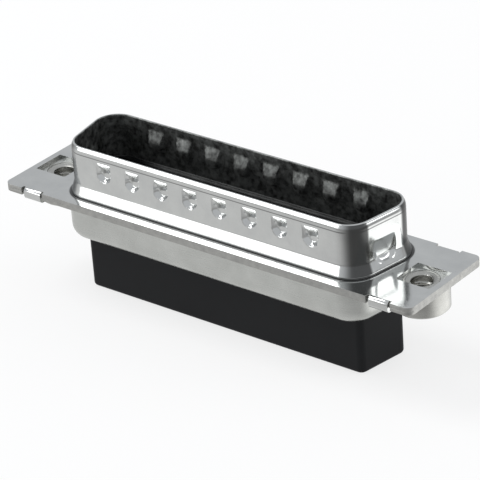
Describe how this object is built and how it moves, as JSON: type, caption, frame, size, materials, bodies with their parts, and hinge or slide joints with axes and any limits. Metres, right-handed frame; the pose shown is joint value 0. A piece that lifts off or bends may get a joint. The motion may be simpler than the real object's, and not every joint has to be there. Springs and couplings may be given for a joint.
{
  "type": "d-sub connector",
  "caption": "Male crimp-type D-shaped connector housing with dimpled metal shell, flange with threaded inserts and black insulator, without contacts.",
  "frame": {"origin": "centre of the flange in plan, at the rear face of the insulator on which the connector stands", "axes": "+X along the flange, +Z out of the mating mouth, +Y towards the long side of the D"},
  "size_m": [0.053, 0.0126, 0.0174],
  "materials": {
    "plated_steel_front": "bright tin plate, polished by drawing",
    "plated_steel_rear": "bright tin plate, slightly duller than the front",
    "insert_metal": "turned and plated",
    "black_plastic": "matte glass-filled moulding",
    "clip_metal": "thin spring strip"
  },
  "bodies": {
    "root": {"front_shell": "plated_steel_front", "rear_shell": "plated_steel_rear", "front_insulator": "black_plastic", "rear_insulator": "black_plastic", "insert_left": "insert_metal", "insert_right": "insert_metal", "clip_01": "clip_metal", "clip_02": "clip_metal", "clip_03": "clip_metal", "clip_04": "clip_metal", "clip_05": "clip_metal", "clip_06": "clip_metal", "clip_07": "clip_metal", "clip_08": "clip_metal", "clip_09": "clip_metal", "clip_10": "clip_metal", "clip_11": "clip_metal", "clip_12": "clip_metal", "clip_13": "clip_metal", "clip_14": "clip_metal", "clip_15": "clip_metal", "clip_16": "clip_metal", "clip_17": "clip_metal", "clip_18": "clip_metal", "clip_19": "clip_metal", "clip_20": "clip_metal", "clip_21": "clip_metal", "clip_22": "clip_metal", "clip_23": "clip_metal", "clip_24": "clip_metal", "clip_25": "clip_metal"}
  },
  "joints": []
}
